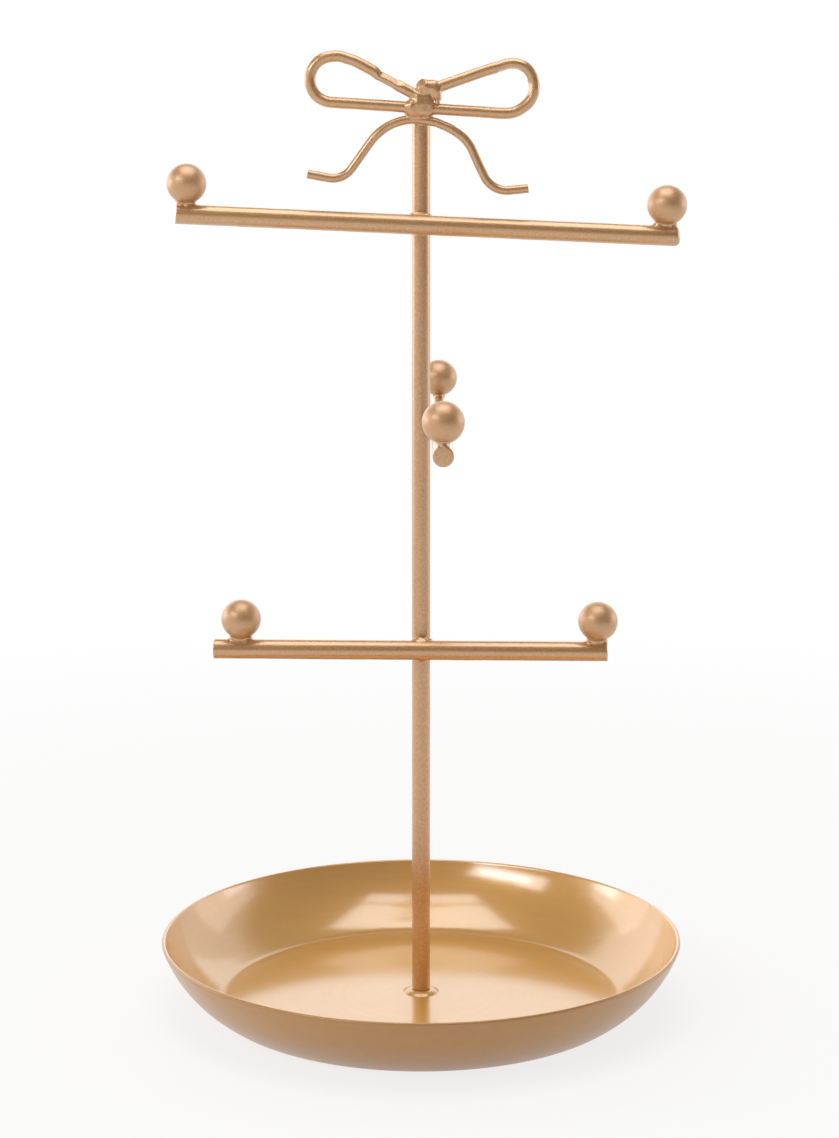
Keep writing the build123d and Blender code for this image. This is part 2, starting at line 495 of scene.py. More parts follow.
@dataclass(frozen=True)
class Lump:
    """Round or squashed lump, which facets may flatten."""

    centre: Array
    radii: Triple
    facets: int = 0
    seed: int = 1
    facet_cut: Pair = (0.62, 0.85)

    def distance(self, points: Array) -> Array:
        """About the distance to the lump's surface, negative inside."""
        shares = (points - self.centre) / np.array(self.radii)
        value = np.linalg.norm(shares, axis=-1) - 1
        draw = np.random.default_rng(self.seed)
        for facing in unit(draw.normal(size=(self.facets, 3))):
            value = np.maximum(value, shares @ facing - draw.uniform(*self.facet_cut))
        return value * min(self.radii)


@dataclass(frozen=True)
class BentWire:
    """Round wire along a bent line."""

    line: Array
    radius: float

    def distance(self, points: Array) -> Array:
        """Distance to the wire's surface, negative inside."""
        nearest = np.full(points.shape[:-1], np.inf)
        for start, end in zip(self.line, self.line[1:]):
            run = end - start
            share = np.clip((points - start) @ run / (run @ run), 0, 1)
            nearest = np.minimum(nearest, np.linalg.norm(points - start - share[..., None] * run, axis=-1))
        return nearest - self.radius


@dataclass(frozen=True)
class StraightRod:
    """Straight round rod with square or rounded ends."""

    start: Array
    end: Array
    radius: float
    rounding: float = 0.0

    def ways(self) -> Array:
        """Directions along the rod, level across it and up from it. An upright rod has none of its own."""
        ahead = unit(self.end - self.start)
        across = unit(np.cross(UP, ahead))
        return np.array([ahead, across, np.cross(ahead, across)])

    def distance(self, points: Array) -> Array:
        """Distance to the rod's surface, negative inside."""
        length = np.linalg.norm(self.end - self.start)
        axis = (self.end - self.start) / length
        along = (points - self.start) @ axis
        out = np.linalg.norm(points - self.start - along[..., None] * axis, axis=-1)
        out = out - self.radius + self.rounding
        beyond = np.abs(along - length / 2) - length / 2 + self.rounding
        corner = np.hypot(np.maximum(out, 0), np.maximum(beyond, 0))
        return np.minimum(np.maximum(out, beyond), 0) + corner - self.rounding


@dataclass(frozen=True)
class SoftBlock:
    """Block with rounded edges."""

    low: Array
    high: Array
    rounding: float

    def distance(self, points: Array) -> Array:
        """Distance to the block's surface, negative inside."""
        half = (self.high - self.low) / 2 - self.rounding
        over = np.abs(points - (self.low + self.high) / 2) - half
        corner = np.linalg.norm(np.maximum(over, 0), axis=-1)
        return corner + np.minimum(over.max(axis=-1), 0) - self.rounding


def round_lumps(origin: Array, ways: Array, lumps: Lumps) -> tuple[Lump, ...]:
    """Round lumps from their places along three ways from an origin, and their radii."""
    return tuple(Lump(origin + lump[:3] @ ways, (lump[3],) * 3) for lump in lumps)


def melted(one: Array, other: Array, flow: float) -> Array:
    """Run two distance fields together, with a fillet of about this reach between them."""
    near = np.maximum(flow - np.abs(one - other), 0) / flow
    return np.minimum(one, other) - near * near * flow / 4


def field_skin(value: Array, grid: Array) -> Skin:
    """Skin the surface where a field is zero.

    Each mixed cell of the grid gets a point at the mean of its crossings, and each crossed grid edge a quad.

    Args:
        value: the field at each grid point.
        grid: the places of the grid points.

    Returns:
        The closed skin.
    """
    cells = tuple(size - 1 for size in value.shape)
    total, count = np.zeros(cells + (3,)), np.zeros(cells)
    crossings = []
    for axis in range(3):
        level, place = np.moveaxis(value, axis, 0), np.moveaxis(grid, axis, 0)
        crossed = (level[:-1] < 0) != (level[1:] < 0)
        share = np.where(crossed, level[:-1] / np.where(crossed, level[:-1] - level[1:], 1.0), 0.0)
        crossing = place[:-1] + share[..., None] * (place[1:] - place[:-1])
        crossings.append(crossed)
        sums, counts = np.moveaxis(total, axis, 0), np.moveaxis(count, axis, 0)
        rows, columns = counts.shape[1:]
        for row, column in ((0, 0), (0, 1), (1, 0), (1, 1)):
            part = (slice(None), slice(row, row + rows), slice(column, column + columns))
            sums += np.where(crossed[part][..., None], crossing[part], 0.0)
            counts += crossed[part]
    used = count > 0
    number = np.full(cells, -1)
    number[used] = np.arange(used.sum())
    faces = []
    for axis, crossed in enumerate(crossings):
        index = np.moveaxis(number, axis, 0)
        corners = [index[:, :-1, :-1], index[:, 1:, :-1], index[:, 1:, 1:], index[:, :-1, 1:]]
        inner = crossed[:, 1:-1, 1:-1]
        quads = np.stack([corner[inner] for corner in corners], axis=1)
        leaving = (np.moveaxis(value, axis, 0)[:-1] < 0)[:, 1:-1, 1:-1][inner]
        backward = leaving if axis == 1 else ~leaving
        quads[backward] = quads[backward][:, ::-1]
        faces.extend(map(tuple, quads.tolist()))
    return Skin(total[used] / count[used][:, None], faces)


@dataclass(frozen=True)
class WeldMetal:
    """Weld metal that has flowed between pieces, with lumps of its own.

    The skin sinks just below the joined pieces where the metal ends, so that its edge fades into them.
    """

    joined: tuple[Field, ...]
    lumps: tuple[Field, ...]
    centre: Array
    reach: Array
    flow: float
    seed: int
    sink: float = 0.04
    cover_depth: float = 0.4
    uneven: float = 0.12
    uneven_size: float = 1.8
    step: float = 0.14

    def skin(self) -> Skin:
        """Skin the weld within its reach."""
        spans = [np.arange(-size - 2 * self.step, size + 3 * self.step, self.step) for size in self.reach]
        grid = np.stack(np.meshgrid(*spans, indexing="ij"), axis=-1) + self.centre
        bare = np.min([piece.distance(grid) for piece in self.joined], axis=0)
        value = self.joined[0].distance(grid)
        for piece in self.joined[1:] + self.lumps:
            value = melted(value, piece.distance(grid), self.flow)
        cover = np.clip((bare - value) / self.cover_depth, 0, 1)
        value = value + self.sink - cover * self.uneven * unevenness(grid, self.uneven_size, self.seed)
        edge = (np.linalg.norm((grid - self.centre) / self.reach, axis=-1) - 1) * self.reach.min()
        return field_skin(np.maximum(value, edge), grid)


# Pieces


def add_piece(
    node: str, skin: Skin, materials: list[Material], body: Body = Body.FRAME,
    face_materials: list[int] | None = None,
) -> None:
    """Add a finished piece in place of a CAD node.

    Args:
        node: the CAD node that the piece stands for.
        skin: its mesh.
        materials: its materials.
        body: the body it rides on.
        face_materials: the number of each face's material, where there are several.
    """
    mesh = bpy.data.meshes.new(node + "_finished")
    mesh.from_pydata((skin.points * MM).tolist(), [], skin.faces)
    for material in materials:
        mesh.materials.append(material)
    if face_materials:
        mesh.polygons.foreach_set("material_index", face_materials)
    mesh.shade_smooth()
    piece = add_object(mesh.name, mesh)
    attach(piece, body.value)
    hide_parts(node)
    LOG.info("%s stands for %s with %d faces", piece.name, node, len(skin.faces))


def node_box(node: str) -> tuple[Array, Array]:
    """Lowest and highest corner of a CAD node, in millimetres."""
    low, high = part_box(node)
    return np.array(low) / MM, np.array(high) / MM


@dataclass(frozen=True)
class SpunDish:
    """Shallow dish spun from one sheet: creased floor, pressed boss for the post, rounded lip."""

    rim_radius: float = 80.0
    floor_radius: float = 61.8
    sheet: float = 1.2
    crease_angle: float = 27.8
    crease_radius: float = 8.0
    foot_band: float = 4.0
    floor_rise: float = 1.0
    boss_rise: float = 2.0
    boss_flat_radius: float = 3.9
    boss_foot_radius: float = 4.9
    hole_radius: float = 1.7
    boss_bends: Pair = (0.6, 2.0)
    floor_bend: float = 30.0
    columns: int = 288
    step: float = 0.5
    lip_steps: int = 12
    uneven: float = 0.05
    uneven_size: float = 45.0
    seed: int = 4

    def underside(self, height: float) -> Array:
        """Line of the underside from the screw hole to the lip, as radius and height.

        Args:
            height: the height of the rim.

        Returns:
            The points along the line.
        """
        rise = self.rim_radius - self.floor_radius
        chord = math.hypot(rise, height)
        chord_angle = math.atan2(height, rise)
        crease = math.radians(self.crease_angle)
        wall = chord / (2 * math.sin(chord_angle - crease))
        wall_centre = np.array([self.floor_radius - wall * math.sin(crease), wall * math.cos(crease)])
        fall = wall_centre[1] - self.crease_radius
        bend_to_wall = wall - self.crease_radius
        crease_foot = wall_centre[0] + math.sqrt(bend_to_wall**2 - fall**2)
        crease_turn = math.degrees(math.acos(fall / bend_to_wall))
        half = self.sheet / 2
        lip_angle = math.degrees(math.asin((wall_centre[1] - height + half) / (wall - half)))
        floor = rounded_line(
            [(self.hole_radius, self.boss_rise), (self.boss_flat_radius, self.boss_rise),
             (self.boss_foot_radius, self.floor_rise), (crease_foot - self.foot_band, 0.0),
             (crease_foot, 0.0)],
            [*self.boss_bends, self.floor_bend])
        bend = arc_line(np.array([crease_foot, self.crease_radius]), self.crease_radius, -90, crease_turn)
        side = arc_line(wall_centre, wall, crease_turn - 90, 90 - lip_angle - crease_turn, turns=96)
        return np.concatenate([floor, bend[1:], side[1:]])

    def section(self, height: float) -> tuple[Array, int]:
        """Closed section of the sheet, and the place of the lip's top in it."""
        path = self.underside(height)
        length = distance_along(path)[-1]
        stations = np.linspace(0, length, round(length / self.step))
        outside = points_along(path, stations)
        nudge = self.step / 10
        ahead = unit(points_along(path, stations + nudge) - points_along(path, stations - nudge))
        inward = np.stack([-ahead[:, 1], ahead[:, 0]], axis=1)
        inside = outside + inward * self.sheet
        middle = (outside[-1] + inside[-1]) / 2
        turn = np.linspace(0, math.pi, self.lip_steps + 1)[1:-1, None]
        lip = middle - self.sheet / 2 * (np.cos(turn) * inward[-1] - np.sin(turn) * ahead[-1])
        return np.concatenate([outside, lip, inside[::-1]]), len(outside) + self.lip_steps // 2

    def build(self) -> None:
        """Turn the section round the axis, and dress the inside and the outside."""
        height = node_box("dish")[1][2]
        section, lip_top = self.section(height)
        rings = spun(section, self.columns)
        spread = np.clip((section[:, 0] - self.floor_radius) / (self.rim_radius - self.floor_radius), 0, 1)
        wave = self.uneven * unevenness(rings * [1, 1, 0], self.uneven_size, self.seed) * spread[:, None]
        outward = unit(rings * [1, 1, 0])
        skin = ring_skin(rings + outward * wave[..., None], closed=True)
        ring_of_face = np.arange(len(skin.faces)) // self.columns
        inside = (ring_of_face >= lip_top).astype(int).tolist()
        materials = [SATIN_OUTSIDE.material(), GLOSS_INSIDE.material()]
        add_piece("dish", skin, materials, Body.DISH, inside)


@dataclass(frozen=True)
class Golds:
    """The frame's lacquers, as they lie on the drawn rods and on the cast balls."""

    rod: Material
    ball: Material


@dataclass(frozen=True)
class RodEnd:
    """Cut end of a bar: its eased edge, the lean of the saw cut, and the burr that the saw left."""

    easing: float
    lean: float = 0.0
    burr: float = 0.0
    burr_towards: float = -90.0


@dataclass(frozen=True)
class Seat:
    """Ball on a bar: its node, and the lumps of weld metal under it.

    Each lump is its place along the bar and across it, its height above the bar's top, and its radius.
    """

    node: str
    lumps: Lumps
    flow: float = 1.3


@dataclass(frozen=True)
class Bar:
    """Bar with its two cut ends, its two balls and the welds that hold them and it."""

    node: str
    towards: Triple
    ends: tuple[RodEnd, RodEnd]
    seats: tuple[Seat, Seat]
    cross_lumps: Lumps
    seed: int
    columns: int = 64
    uneven_size: float = 9.0
    lean_reach: float = 3.0
    burr_rim: float = 0.75
    burr_uneven: float = 0.5
    burr_size: float = 0.9
    ball_rows: int = 64
    ball_columns: int = 96
    ball_pole_gap: float = 0.02
    ball_uneven: float = 0.03
    ball_uneven_size: float = 7.0
    seat_lift: float = 0.9
    seat_reach: Triple = (5.6, 3.6, 2.8)
    cross_bite: float = 0.1
    cross_reach: Triple = (6.5, 5.0, 6.0)
    cross_flow: float = 1.5

    def rod(self) -> StraightRod:
        """The bar's straight rod, from its CAD box and its direction."""
        low, high = node_box(self.node)
        ahead = unit(np.array(self.towards))
        main = int(np.argmax(np.abs(ahead)))
        radius = sorted(high - low)[0] / 2
        cosine = abs(ahead[main])
        length = ((high - low)[main] - 2 * radius * math.sqrt(1 - cosine**2)) / cosine
        middle = (low + high) / 2
        return StraightRod(middle - ahead * length / 2, middle + ahead * length / 2, radius)

    def build_rod(self, gold: Material) -> None:
        """Make the bar with its leaning saw cuts and burrs."""
        rod = self.rod()
        ahead, across, _ = rod.ways()
        form = WireForm(rod.radius, (self.ends[0].easing, self.ends[1].easing), seed=self.seed,
                        columns=self.columns, uneven_size=self.uneven_size)
        rings = form.rings(np.array([rod.start, rod.end]), across)
        along, beside, above = np.moveaxis((rings - rod.start) @ rod.ways().T, -1, 0)
        length = np.linalg.norm(rod.end - rod.start)
        for end, sign, gap in ((self.ends[0], -1, along), (self.ends[1], 1, length - along)):
            fade = np.clip(1 - gap / self.lean_reach, 0, 1)
            lean = math.tan(math.radians(end.lean)) * above
            towards = math.radians(end.burr_towards)
            rim = (above * math.sin(towards) + beside * math.cos(towards)) / rod.radius
            lip = end.burr * np.clip((rim - self.burr_rim) / (1 - self.burr_rim), 0, 1)
            burr = lip * (1 + self.burr_uneven * unevenness(rings, self.burr_size, self.seed))
            rings = rings + sign * ahead * (fade * (burr - lean))[..., None]
        add_piece(self.node, ring_skin(rings), [gold])

    def build_seat(self, seat: Seat, end: RodEnd, golds: Golds, seed: int) -> None:
        """Make one ball and the weld metal under it.

        Args:
            seat: the ball and its lumps of weld metal.
            end: the bar's end beneath it.
            golds: the lacquers of the frame.
            seed: the seed of the unevenness.
        """
        rod = replace(self.rod(), rounding=end.easing)
        low, high = node_box(seat.node)
        centre, radius = (low + high) / 2, (high[0] - low[0]) / 2
        polar = np.linspace(self.ball_pole_gap, math.pi - self.ball_pole_gap, self.ball_rows)
        facing = spun(np.stack([np.sin(polar), np.cos(polar)], axis=1), self.ball_columns)[::-1]
        uneven = unevenness(centre + facing * radius, self.ball_uneven_size, seed)
        reach = radius - self.ball_uneven * (1 + uneven)
        add_piece(seat.node, ring_skin(centre + facing * reach[..., None]), [golds.ball])
        ways = rod.ways()
        ahead, _, up = ways
        foot = rod.start + ahead * ((centre - rod.start) @ ahead) + up * rod.radius
        weld = WeldMetal(
            (rod, Lump(centre, (radius,) * 3)), round_lumps(foot, ways, seat.lumps),
            foot + up * self.seat_lift, self.seat_reach @ np.abs(ways), seat.flow, seed)
        add_piece(seat.node + "_weld", weld.skin(), [golds.rod])

    def build_crossing(self, post: StraightRod, gold: Material) -> None:
        """Make the weld metal where the bar lies against the post."""
        rod = self.rod()
        ahead = rod.ways()[0]
        low, high = node_box(self.node + "_weld")
        out = (rod.start + rod.end) / 2 * [1, 1, 0]
        out = unit(out - ahead * (out @ ahead))
        contact = out * (post.radius + self.cross_bite) + UP * (low + high)[2] / 2
        ways = np.array([ahead, out, UP])
        weld = WeldMetal(
            (rod, post), round_lumps(contact, ways, self.cross_lumps), contact,
            self.cross_reach @ np.abs(ways), self.cross_flow, self.seed)
        add_piece(self.node + "_weld", weld.skin(), [gold])

    def build(self, post: StraightRod, golds: Golds) -> None:
        """Make the bar, its balls and all its welds."""
        self.build_rod(golds.rod)
        for number, (seat, end) in enumerate(zip(self.seats, self.ends)):
            self.build_seat(seat, end, golds, self.seed * 10 + number)
        self.build_crossing(post, golds.rod)


@dataclass(frozen=True)
class Post:
    """Upright rod that carries the bars and the bow."""

    easing: float = 0.4

    def rod(self) -> StraightRod:
        """The post's straight rod, from its CAD box."""
        low, high = node_box("post")
        return StraightRod(UP * low[2], UP * high[2], (high[0] - low[0]) / 2)

    def build(self, gold: Material) -> None:
        """Make the rod."""
        rod = self.rod()
        form = WireForm(rod.radius, (self.easing, self.easing), seed=21, columns=64, uneven_size=12.0)
        rings = form.rings(np.array([rod.start, rod.end]), BACK)
        add_piece("post", ring_skin(rings), [gold])


@dataclass(frozen=True)
class Bow:
    """Wire bow: one wire for both loops, a thinner one for both tails, and the knot of weld metal.

    The drawing is flat, in X and Z. Reaches go outward from the post's axis, drops go down.
    """

    loop_wire: float = 3.4
    tail_wire: float = 2.7
    root: float = 0.2
    drop: float = 4.6
    tilt: float = 3.6
    left_reach: float = 26.5
    left_radius: float = 7.0
    right_reach: float = 25.8
    right_radius: float = 7.35
    end_spread: float = 1.7
    left_end_gap: float = 0.2
    right_end_gap: float = 1.8
    tail_gap: float = 0.7
    tail_left: tuple[Pair, ...] = ((34.0, 16.0), (23.3, 18.0), (8.5, -2.7))
    tail_right: tuple[Pair, ...] = ((12.5, 3.3), (21.2, 21.3), (32.2, 20.2))
    tail_bends: tuple[float, ...] = (7.0, 16.0, 12.0, 7.5)
    strays: tuple[Pair, ...] = (
        (12.8, -0.1), (14.0, -0.55), (21.0, -0.6), (24.0, 0.0), (28.0, 0.4), (36.0, 0.0), (43.0, -0.2),
        (50.0, 0.0), (100.0, -0.1), (106.0, 0.4), (113.0, -0.1), (120.0, -0.6), (127.0, 0.35), (132.0, 0.0))
    tail_strays: tuple[Pair, ...] = ((42.0, 0.1), (46.0, 0.45), (52.0, -0.25), (59.0, 0.15), (65.0, 0.0))
    flats: tuple[PressedFlat, ...] = (
        PressedFlat(7.0, 13.3, 180.0, 0.30, ramp=0.6),
        PressedFlat(6.5, 12.4, 0.0, 0.25, ramp=1.8),
        PressedFlat(5.5, 12.9, 235.0, 0.45, ramp=1.0),
        PressedFlat(7.5, 11.0, 300.0, 0.25, ramp=1.0),
        PressedFlat(110.0, 115.5, -25.0, 0.45),
        PressedFlat(116.5, 120.0, 10.0, 0.30),
        PressedFlat(121.0, 129.0, -15.0, 0.40),
    )
    loop_easing: float = 0.3
    tail_easing: float = 0.15
    knot_cover: float = 0.6
    knot_left_points: int = 30
    knot_point_step: int = 4

    def point(self, line: float, along: float, above: float) -> Array:
        """Drawn point, measured along the loops' lower run and square to it."""
        tilt = math.radians(self.tilt)
        return np.array([along * math.cos(tilt) + above * math.sin(tilt),
                         line - along * math.sin(tilt) + above * math.cos(tilt)])

    def loops_line(self, line: float) -> Array:
        """Drawn points of the loop wire from the knot round both loops and back.

        Args:
            line: the height of the lower run at the post's axis.

        Returns:
            The points of the straight runs and the two arcs.
        """
        left = self.point(line, -self.left_reach, self.left_radius)
        right = self.point(line, self.right_reach, self.right_radius)
        start = self.point(line, -self.end_spread, self.loop_wire + self.left_end_gap)
        end = self.point(line, self.end_spread, self.loop_wire + self.right_end_gap)
        rising = math.degrees(math.atan2(*(left - start)[::-1])
                              - math.asin(self.left_radius / np.linalg.norm(left - start)))
        falling = math.degrees(math.atan2(*(end - right)[::-1])
                               + math.asin(self.right_radius / np.linalg.norm(end - right))) % 360 + 360
        across = 360 - self.tilt
        left_arc = arc_line(left, self.left_radius, rising - 90, across - rising)
        right_arc = arc_line(right, self.right_radius, across - 90, falling - across)
        return np.concatenate([[start], left_arc, right_arc, [end]])

    def tails_line(self, level: float) -> Array:
        """Points of the tail wire from the left tip over the post to the right tip."""
        corners = [(-reach, level - drop) for reach, drop in self.tail_left]
        corners += [(reach, level - drop) for reach, drop in self.tail_right]
        return rounded_line(corners, list(self.tail_bends), turns=24)

    def build(self, post: StraightRod, gold: Material) -> None:
        """Make the loops, the tails, the knot and the bead."""
        line = post.end[2] - self.drop
        level = line - self.loop_wire / 2 - self.tail_gap - self.tail_wire / 2
        loop_depth = -(post.radius + self.root + self.loop_wire / 2)
        tail_depth = -(post.radius + self.root + self.tail_wire / 2)
        loops = self.in_plane(hand_bent(self.loops_line(line), self.strays), loop_depth)
        tails = self.in_plane(hand_bent(self.tails_line(level), self.tail_strays), tail_depth)
        loop_form = WireForm(self.loop_wire / 2, (self.loop_easing,) * 2, self.flats, seed=31, uneven=0.04)
        tail_form = WireForm(self.tail_wire / 2, (self.tail_easing,) * 2, seed=32)
        for node, form, points in (("bow_loops", loop_form, loops), ("bow_tails", tail_form, tails)):
            add_piece(node, ring_skin(form.rings(points, BACK)), [gold])
        self.build_knot(post, loops, tails, gold)

    def build_knot(self, post: StraightRod, loops: Array, tails: Array, gold: Material) -> None:
        """Make the knot's weld metal over the wires and the post, and the rough bead on top of it.

        Args:
            post: the post's rod.
            loops: the loop wire's centre line.
            tails: the tail wire's centre line.
            gold: the rods' lacquer.
        """
        near = self.loop_wire * 3
        share = distance_along(loops) / distance_along(loops)[-1]
        crossing = np.abs(loops[:, 0]) < near
        left_run, lower_run, right_run = (
            loops[crossing & (share > first) & (share < last)]
            for first, last in ((-1.0, 0.25), (0.25, 0.75), (0.75, 2.0)))
        tail_run = tails[np.abs(tails[:, 0]) < near]
        wires = (
            BentWire(left_run[:self.knot_left_points:self.knot_point_step], self.loop_wire / 2),
            BentWire(lower_run[[0, -1]], self.loop_wire / 2),
            BentWire(right_run[[0, -1]], self.loop_wire / 2),
            BentWire(tail_run[::self.knot_point_step], self.tail_wire / 2),
        )
        depth, line = loops[0, 1], lower_run[:, 2].mean()
        origin = np.array([0.0, depth, line])
        front = depth - self.loop_wire / 2 - self.knot_cover
        back = -post.radius / 2
        patch = SoftBlock(
            low=np.array([-4.2, front, line - 2.5]), high=np.array([3.3, back, line + 2.4]), rounding=1.5)
        neck = SoftBlock(
            low=np.array([-2.6, front + 0.2, line]), high=np.array([3.8, back, line + 5.0]), rounding=2.0)
        knot = WeldMetal(
            (post, *wires), (patch, neck), centre=origin + [0.2, 0.0, 0.9], reach=np.array([7.2, 4.6, 7.0]),
            flow=1.4, seed=41, uneven=0.09, uneven_size=2.4)
        nuggets = tuple(Lump(origin + place, radii, facets, seed) for place, radii, facets, seed in (
            ((0.9, -0.5, 6.1), (2.4, 2.3, 2.6), 6, 5),
            ((-0.9, -0.4, 4.2), (1.6, 1.7, 2.0), 4, 8),
            ((3.6, -0.2, 5.9), (2.2, 2.2, 2.5), 5, 6),
            ((4.9, -0.4, 3.7), (1.3, 1.9, 2.4), 5, 7),
            ((4.6, -0.8, 1.6), (0.9, 1.0, 0.8), 5, 9),
        ))
        bead = WeldMetal(
            (neck, wires[2], post), nuggets,
            centre=origin + [2.8, 0.0, 5.0], reach=np.array([4.8, 4.2, 5.0]),
            flow=0.9, seed=42, uneven=0.07, step=0.12)
        for node, weld in (("bow_knot", knot), ("bow_bead", bead)):
            add_piece(node, weld.skin(), [gold])

    def in_plane(self, drawn: Array, depth: float) -> Array:
        """Drawn points set in space at a depth."""
        return np.stack([drawn[:, 0], np.full(len(drawn), depth), drawn[:, 1]], axis=1)


# Studio


@dataclass(frozen=True)
class SoftBox:
    """Rectangular soft white light: where it stands and aims, its size, and how bright its face is."""

    name: str
    place: Triple
    aim: Triple
    size: Pair
    brightness: float

    def build(self) -> None:
        """Add the light. Its power follows from its area and brightness."""
        lamp = bpy.data.lights.new(self.name, "AREA")
        lamp.shape = "RECTANGLE"
        lamp.size, lamp.size_y = self.size
        lamp.energy = self.brightness * math.pi * self.size[0] * self.size[1]
        light = add_object(self.name, lamp)
        light.location = self.place
        light.rotation_euler = (Vector(self.aim) - Vector(self.place)).to_track_quat("-Z", "Y").to_euler()
        light.visible_camera = False
        LOG.info("%s lights the stand", self.name)


@dataclass(frozen=True)
class Studio:
    """White table and backdrop, soft boxes, the room around them, and the camera.

    All is in metres but for the camera's place. Spans are shares of the direction that a ray looks in.
    """

    soft_boxes: tuple[SoftBox, ...] = (
        SoftBox("top_soft_box", (0.0, -0.08, 0.90), (0.0, -0.08, 0.0), (0.66, 0.66), 2.3),
        SoftBox("key_soft_box", (-0.70, -0.63, 0.70), (0.0, 0.0, 0.10), (0.74, 0.27), 2.8),
        SoftBox("key_core", (-0.67, -0.65, 0.69), (0.0, 0.0, 0.10), (0.50, 0.12), 3.8),
        SoftBox("left_strip", (-1.06, 0.18, 0.32), (0.0, 0.0, 0.05), (0.32, 0.16), 2.4),
        SoftBox("right_strip", (1.06, 0.19, 0.29), (0.0, 0.0, 0.05), (0.32, 0.16), 1.3),
        SoftBox("left_panel", (-1.25, 0.50, 0.35), (0.0, 0.0, 0.15), (0.9, 0.7), 1.0),
        SoftBox("right_panel", (1.25, 0.50, 0.35), (0.0, 0.0, 0.15), (0.9, 0.7), 0.6),
        SoftBox("backdrop_light", (-0.30, 1.5, 0.61), (0.0, 0.0, 0.05), (2.6, 1.2), 0.50),
    )
    left_room_colour: str = "#F5F2EE"
    right_room_colour: str = "#2A2725"
    right_room_span: Pair = (-0.5, 0.5)
    backdrop_colour: str = "#FFFFFF"
    backdrop_span: Pair = (-0.45, 0.10)
    backdrop_rise: float = 0.4
    ceiling_colour: str = "#8A8682"
    ceiling_span: Pair = (0.28, 0.55)
    table_colour: str = "#F2F1EF"
    table_radius: float = 6.0
    table_corners: int = 64
    table_glow: Pair = (0.80, 1.0)
    table_glow_reach: Pair = (0.15, 0.60)
    table_mirror_glow: float = 0.65
    lens: float = 77.944
    sensor: float = 36.0
    camera_place: Triple = (6.2, -743.2, 261.8)
    camera_pitch: float = 5.224
    camera_yaw: float = -0.515
    camera_shift: float = -0.17

    def build_world(self) -> None:
        """Light the scene from a room, pale on the left and dark on the right, a backdrop and a ceiling."""
        world = bpy.data.worlds.new("studio_room")
        bpy.context.scene.world = world
        tree = bare_tree(world)
        facing = add_node(tree, "TexCoord", {}).outputs["Generated"]
        part = add_node(tree, "SeparateXYZ", {0: facing})
        height = add_node(tree, "Math", {
            0: part.outputs[1], 1: -self.backdrop_rise, 2: part.outputs[2]}, operation="MULTIPLY_ADD")
        room = linear(self.left_room_colour)
        for value, span, colour in (
            (part.outputs[0], self.right_room_span, self.right_room_colour),
            (part.outputs[1], self.backdrop_span, self.backdrop_colour),
            (height, self.ceiling_span, self.ceiling_colour),
        ):
            share = add_node(tree, "MapRange", {
                "Value": value, "From Min": span[0], "From Max": span[1]}, interpolation_type="SMOOTHSTEP")
            room = add_node(tree, "Mix", {
                "Factor": share, 6: room, 7: linear(colour)}, data_type="RGBA").outputs[2]
        path = add_node(tree, "LightPath", {})
        seen = add_node(tree, "Mix", {
            "Factor": path.outputs["Is Camera Ray"], 6: room, 7: linear(self.backdrop_colour)},
            data_type="RGBA")
        light = add_node(tree, "Background", {"Color": seen.outputs[2], "Strength": 1.0})
        add_node(tree, "OutputWorld", {"Surface": light})

    def build_table(self) -> None:
        """Lay the white table, which keeps the stand's shadow and turns pure white further out."""
        made = bpy.data.materials.new("white_table_laminate")
        tree = bare_tree(made)
        place = add_node(tree, "TexCoord", {}).outputs["Object"]
        radius = add_node(tree, "VectorMath", {0: place}, operation="LENGTH")
        white_out = add_node(tree, "MapRange", {
            "Value": radius.outputs["Value"], "From Min": self.table_glow_reach[0],
            "From Max": self.table_glow_reach[1],
            "To Min": self.table_glow[0], "To Max": self.table_glow[1]})
        path = add_node(tree, "LightPath", {})
        mirrored = add_node(tree, "Math", {
            0: path.outputs["Is Glossy Ray"], 1: path.outputs["Is Transmission Ray"]}, operation="MAXIMUM")
        mirror_glow = add_node(tree, "Math", {0: mirrored, 1: self.table_mirror_glow}, operation="MULTIPLY")
        glow = add_node(tree, "Math", {
            0: path.outputs["Is Camera Ray"], 1: white_out, 2: mirror_glow}, operation="MULTIPLY_ADD")
        paint = add_node(tree, "BsdfDiffuse", {"Color": linear(self.table_colour)})
        white = add_node(tree, "Emission", {"Color": linear(self.backdrop_colour), "Strength": 1.0})
        mixed = add_node(tree, "MixShader", {0: glow, 1: paint, 2: white})
        add_node(tree, "OutputMaterial", {"Surface": mixed})
        mesh = bpy.data.meshes.new("white_table")
        rim = spun(np.array([[self.table_radius, 0.0]]), self.table_corners)[0]
        mesh.from_pydata(rim.tolist(), [], [tuple(range(self.table_corners))])
        mesh.materials.append(made)
        table = add_object("white_table", mesh)

    def build_camera(self) -> None:
        """Set the camera at the photograph's viewing angle."""
        lens = bpy.data.cameras.new("camera")
        lens.lens, lens.sensor_width, lens.shift_y = self.lens, self.sensor, self.camera_shift
        camera = add_object("camera", lens)
        camera.location = Vector(self.camera_place) * MM
        camera.rotation_euler = Euler(
            (math.radians(90 - self.camera_pitch), 0.0, -math.radians(self.camera_yaw)))
        bpy.context.scene.camera = camera

    def build(self) -> None:
        """Make the world, the table, the lights and the camera."""
        bpy.context.scene.view_settings.view_transform = "Standard"
        self.build_world()
        self.build_table()
        for soft_box in self.soft_boxes:
            soft_box.build()
        self.build_camera()


# The stand


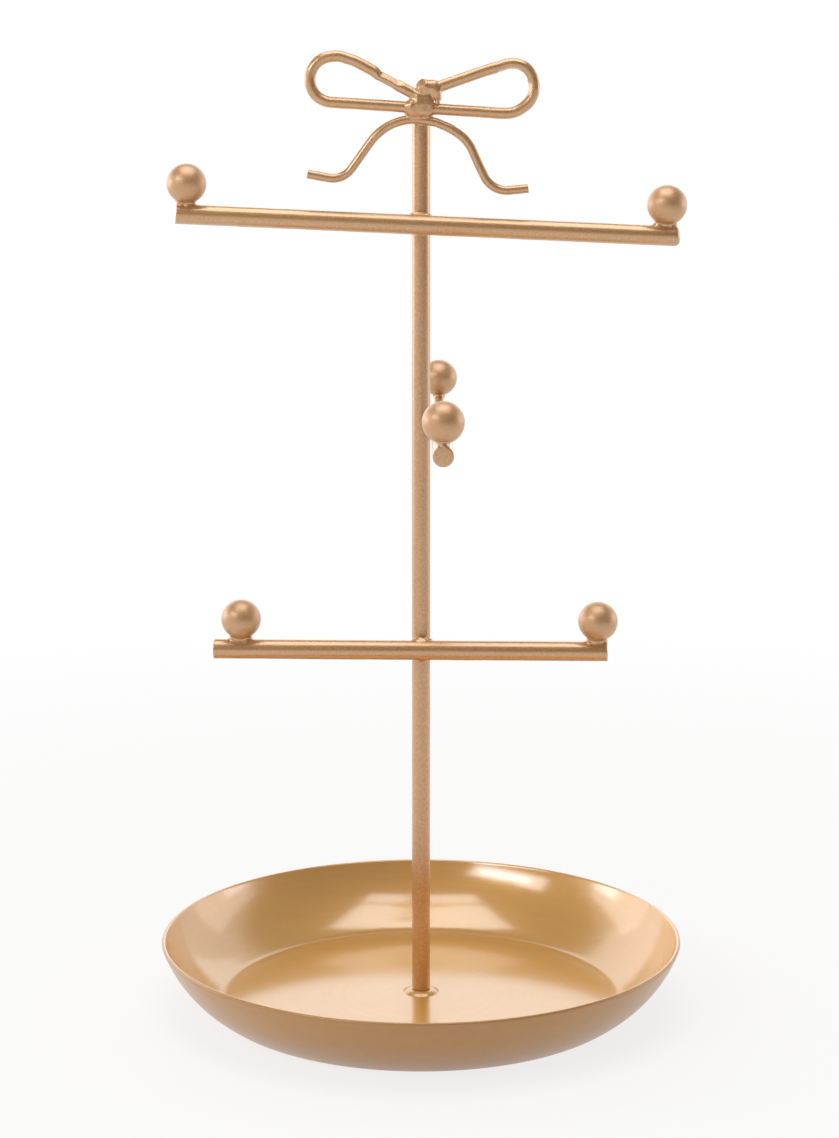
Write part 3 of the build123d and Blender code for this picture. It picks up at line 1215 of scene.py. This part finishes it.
def make_bars() -> list[Bar]:
    """The three bars, with what each saw cut and weld looks like."""
    tilt, level, yaw = math.radians(2.55), math.radians(0.3), math.radians(0.6)
    upper = Bar(
        "upper_bar", (math.cos(tilt), 0.0, -math.sin(tilt)),
        (RodEnd(0.25, lean=3.5, burr=0.35), RodEnd(1.7, lean=6.0)),
        (Seat("upper_left_ball", ((-1.7, 0.0, 0.1, 1.1), (-0.2, 0.2, 0.2, 1.4), (1.3, 0.0, 0.0, 1.3))),
         Seat("upper_right_ball", ((-2.2, 0.1, 0.0, 1.4), (-0.5, 0.0, 0.1, 1.5), (1.6, -0.1, 0.1, 1.3)))),
        ((-2.6, 1.9, 2.6, 0.8), (-1.0, 2.2, 2.9, 0.8), (0.8, 2.2, 2.8, 0.8), (2.4, 1.8, 2.5, 0.8),
         (-0.4, 2.6, -2.6, 1.2)),
        seed=51)
    middle = Bar(
        "middle_bar", (-math.sin(yaw), math.cos(yaw), 0.0),
        (RodEnd(0.5, lean=-4.0), RodEnd(0.5)),
        (Seat("middle_front_ball", ((-1.6, 0.0, -0.2, 1.2), (-0.3, 0.0, 0.1, 1.3), (1.0, 0.1, 0.0, 1.2))),
         Seat("middle_rear_ball", ((-1.2, 0.0, 0.0, 1.2), (0.2, -0.1, 0.1, 1.3), (1.4, 0.0, 0.0, 1.2)))),
        ((-2.2, 1.8, 2.6, 0.8), (1.4, 2.0, 2.7, 0.9), (0.4, 2.2, -2.6, 1.1)),
        seed=52)
    lower = Bar(
        "lower_bar", (math.cos(level), 0.0, -math.sin(level)),
        (RodEnd(0.4, lean=2.0, burr=0.2, burr_towards=160.0), RodEnd(0.5, lean=3.0, burr=0.2)),
        (Seat("lower_left_ball", ((-2.3, 0.0, -0.1, 1.3), (-0.6, 0.1, 0.1, 1.5), (1.6, 0.0, 0.0, 1.5))),
         Seat("lower_right_ball", ((-2.0, 0.0, 0.0, 1.4), (-0.4, 0.0, 0.1, 1.5), (1.4, 0.0, 0.1, 1.3)))),
        ((-1.8, 1.9, 2.6, 0.8), (-0.2, 2.6, 3.0, 0.8), (0.9, 2.2, 2.8, 0.8), (2.6, 1.6, 2.5, 0.8),
         (0.2, 2.4, -2.6, 1.1)),
        seed=53)
    return [upper, middle, lower]


def dress_screw() -> None:
    """Give the fixing screw under the dish its zinc plate."""
    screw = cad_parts["fixing_screw"]
    screw.data.materials.clear()
    screw.data.materials.append(ZincPlate().material())
    LOG.info("fixing_screw keeps its CAD mesh")


def write_sizes() -> None:
    """Bring the view layer up to date."""
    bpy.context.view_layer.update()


def main() -> None:
    """Build the stand and its studio."""
    logging.basicConfig(level=logging.INFO, format="%(name)s: %(message)s")
    golds = Golds(ROD_GOLD.material(), BALL_GOLD.material())
    SpunDish().build()
    post = Post()
    post.build(golds.rod)
    for bar in make_bars():
        bar.build(post.rod(), golds)
    Bow().build(post.rod(), golds.rod)
    dress_screw()
    Studio().build()
    write_sizes()


if __name__ == "__main__":
    main()
